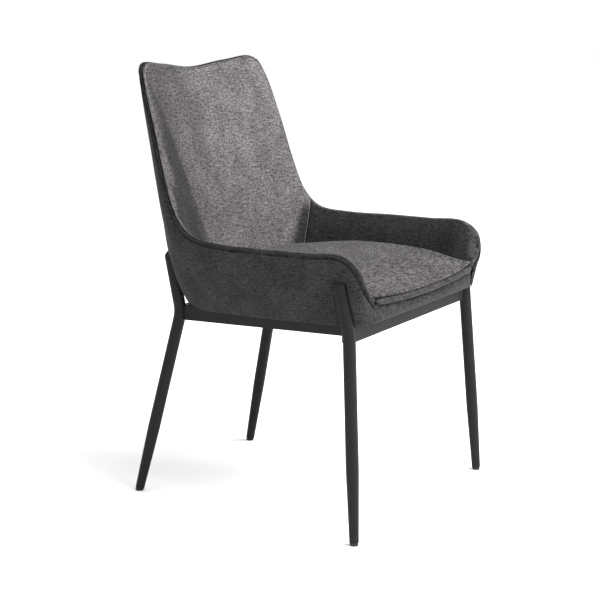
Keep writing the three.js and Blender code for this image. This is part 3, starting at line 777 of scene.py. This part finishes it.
def seat_surface(share, deep, high):
    """Spans the cushion between its four sides."""
    first, last = SEAT_STATIONS
    station = first + (last - first) * deep
    left = seat_edge(station, high)
    right = Vector((-left.x, left.y, left.z))
    corner = seat_edge(first, high)
    front = Vector((corner.x * (2 * share - 1), corner.y, corner.z))
    front.y -= FRONT_BOW * (1 - abs(2 * share - 1) ** 4)
    front.z -= FRONT_SAG * (1 - (2 * share - 1) ** 2) * high
    rear = seat_edge(2 * LAST - last - (2 * LAST - 2 * last) * share, high)
    rear_corner = seat_edge(last, high)
    near, far = (Vector((point.x * (2 * share - 1), point.y, point.z)) for point in (corner, rear_corner))
    return right.lerp(left, share) + front.lerp(rear, deep) - near.lerp(far, deep)


SEAT_EDGE_SHARE = 0.022
# Nominal spans that turn shares into metres for the rolls only. The cushion itself is larger.
ROLL_SPAN_ACROSS = 0.43
ROLL_SPAN_DEEP = 0.41


def seat_place(share, deep, high):
    """A point of the cushion with its upper edges rolled."""
    loops = EDGE_LOOPS / SEAT_CELLS
    share, deep = (crowded(value, SEAT_EDGE_SHARE, SEAT_EDGE_SHARE, loops) for value in (share, deep))
    point = seat_surface(share, deep, high)
    if high > 0.999:
        inward = min(share, 1 - share) * ROLL_SPAN_ACROSS, (1 - deep) * ROLL_SPAN_DEEP
        front_roll = rolled(deep * ROLL_SPAN_DEEP, SEAT_FRONT_ROLL)
        point.z -= max(front_roll, *(rolled(value, SEAT_ROLL) for value in inward))
    return point


def inflated(piece, held, pressure, crown):
    """Blows the piece up as cloth with some points held, then scales the swelling to the crown."""
    group = piece.vertex_groups.new(name="held")
    group.add(held, 1.0, "ADD")
    starts = [vertex.co.copy() for vertex in piece.data.vertices]
    cloth = piece.modifiers.new("cloth", "CLOTH")
    cloth.settings.vertex_group_mass = "held"
    cloth.settings.use_pressure = True
    cloth.settings.uniform_pressure_force = pressure
    cloth.settings.effector_weights.gravity = 0
    cloth.point_cache.frame_start = 1
    cloth.point_cache.frame_end = 20
    for number in range(1, 21):
        bpy.context.scene.frame_set(number)
    blown = piece.evaluated_get(bpy.context.evaluated_depsgraph_get())
    ends = [vertex.co.copy() for vertex in blown.data.vertices]
    piece.modifiers.remove(cloth)
    piece.vertex_groups.remove(group)
    bpy.context.scene.frame_set(1)
    longest = max((end - start).length for start, end in zip(starts, ends))
    scale = min(crown, PUFF_LIMIT) / max(longest, 1e-6)
    for vertex, start, end in zip(piece.data.vertices, starts, ends):
        vertex.co = start + (end - start) * scale


def flat_weave(cube, point):
    """The weave seen from above, carried down the sides."""
    return point.x, point.y - point.z


cushion_form = shaped(block(SEAT_CELLS, SEAT_CELLS, 7), seat_place, flat_weave)
cushion = finished(cushion_form, "seat_cushion_pad", SEAT_CHENILLE)
held = []
for vertex in cushion.data.vertices:
    y = vertex.co.y / MM + DEPTH_CENTRE
    low = (SEAT_BOTTOM - SEAT_SLOPE * y) * MM
    if vertex.co.z < low + 0.35 * (seat_edge_height(y) * MM - low):
        held.append(vertex.index)
inflated(cushion, held, 4.0, SEAT_CROWN)
rounder = cushion.modifiers.new("rounder", "SUBSURF")
rounder.levels = rounder.render_levels = 1
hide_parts("seat_cushion")

# ---- Rolled lip --------------------------------------------------------------------------
# A fat roll of chenille over cord along the front of the seat, sewn between the cushion's top
# and the front border. It hangs lower in the middle than at the arms.

LIP_REACH = 212
LIP_MIDDLE = 452.8
LIP_LIFT = 8.5
LIP_SIDES = 24


def lip_place(share, turn):
    """A point round the lip: share runs from one arm to the other, turn once round."""
    across = 2 * share - 1
    full = math.sqrt(max(1 - abs(across) ** 30, 0.0))
    y = -32.2 - 4.4 * (1 - across**2) - 6.4 * math.cos(turn) * full
    z = LIP_MIDDLE + LIP_LIFT * across**2 + (6.6 - 1.2 * across**2) * math.sin(turn) * full
    return placed(across * LIP_REACH, y, z)


lip = bmesh.new()
LIP_STEPS = 150
rings = []
for step in range(LIP_STEPS + 1):
    share = min(max(step / LIP_STEPS, 0.002), 0.998)
    turns = [2 * math.pi * side / LIP_SIDES for side in range(LIP_SIDES)]
    rings.append([lip.verts.new(lip_place(share, turn)) for turn in turns])
for before, after in zip(rings, rings[1:]):
    for i in range(LIP_SIDES):
        j = (i + 1) % LIP_SIDES
        lip.faces.new((before[i], before[j], after[j], after[i]))
lip.faces.new(rings[0])
lip.faces.new(rings[-1])
turned_outwards(lip)
lip_uv = lip.loops.layers.uv.new("weave")
for face in lip.faces:
    face.smooth = True
    for loop in face.loops:
        loop[lip_uv].uv = (loop.vert.co.x, loop.vert.co.z - loop.vert.co.y)
lip_roll = finished(lip, "front_edge_roll", LIP_CHENILLE)
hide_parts("front_edge_band")

# ---- Front border ------------------------------------------------------------------------
# The front face under the lip: chenille over thin foam on the seat board's edge, tucked up under
# the lip and turned in above the front rail.

# Painted shade: the border under the lip is the same chenille painted darker.
BORDER_CHENILLE = chenille("chenille_border", (0.46, 0.46), even=0.0)
BORDER_BOTTOM = 418.5


def border_place(share, rise, deep):
    """A point of the border: rise goes up to the lip and deep goes back to the board."""
    across = 2 * share - 1
    top = LIP_MIDDLE + LIP_LIFT * across**2 - 4.0
    z = BORDER_BOTTOM + (top - BORDER_BOTTOM) * rise
    swell = 6.5 * math.sin(math.pi * min(rise, 0.9)) * (1 - across**8)
    roll = rolled(rise * 30, 4.5)
    face = -29.5 - swell + roll
    back = -12 - 15.5 * smooth_share(rise, 0.7, 0.95)
    half = 219 + (180 - 219) * deep * (1 - smooth_share(rise, 0.7, 0.95))
    return placed(across * half, face + (back - face) * deep, z)


def border_weave(cube, point):
    """The weave seen from the front."""
    return point.x, point.z


border_form = shaped(block(150, 26), border_place, border_weave)
border = finished(border_form, "front_border_pad", BORDER_CHENILLE)
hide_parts("front_border")

# ---- Floor, light and camera -------------------------------------------------------------
# A pale floor under a white sky, a large soft light high in front and a weaker one overhead.
# The floor's tone follows the fall of the light, so that it runs into the sky without a line.

bpy.ops.mesh.primitive_plane_add(size=60, location=(0, 0, 0))
floor = bpy.context.object
floor.name = "studio_floor"
floor_material, floor_finish, floor_surface = new_finish(
    "studio_floor", Roughness=0.9, Specular_IOR_Level=0.0
)
floor_place = floor_finish.node("ShaderNodeTexCoord", {}, "Object")
distance = floor_finish.node("ShaderNodeVectorMath", {0: floor_place}, 1, operation="LENGTH")
floor_tone = floor_finish.colour(distance.between(0.6, 3.5), (0.90, 0.90, 0.90, 1), (1.0, 1.0, 1.0, 1))
wire(floor_finish, floor_surface, Base_Color=floor_tone)
floor.data.materials.append(floor_material)

world = bpy.data.worlds.new("studio")
bpy.context.scene.world = world
world.use_nodes = True
world.node_tree.nodes["Background"].inputs["Color"].default_value = (1, 1, 1, 1)
world.node_tree.nodes["Background"].inputs["Strength"].default_value = 1.0


def softbox(name, place, target, size, watts):
    light = bpy.data.lights.new(name, "AREA")
    light.shape = "RECTANGLE"
    light.size, light.size_y = size
    light.energy = watts
    lamp = bpy.data.objects.new(name, light)
    bpy.context.scene.collection.objects.link(lamp)
    lamp.location = place
    lamp.rotation_euler = (Vector(target) - Vector(place)).to_track_quat("-Z", "Y").to_euler()


softbox("front_softbox", (0.35, -2.3, 2.9), (0, 0, 0.6), (3.2, 2.2), 265)
softbox("overhead_softbox", (0.0, -0.2, 3.2), (0, 0, 0.5), (2.4, 2.4), 30)

camera_data = bpy.data.cameras.new("camera")
camera_data.sensor_width = 36
camera_data.lens = 93.82
camera = bpy.data.objects.new("camera", camera_data)
bpy.context.scene.collection.objects.link(camera)
camera.location = (-2.76853, -1.38389 - DEPTH_CENTRE * MM, 1.04558)
camera.rotation_euler = Euler((math.radians(78.661), 0, math.radians(-59.2926)))
bpy.context.scene.camera = camera
bpy.context.scene.view_settings.view_transform = "Standard"
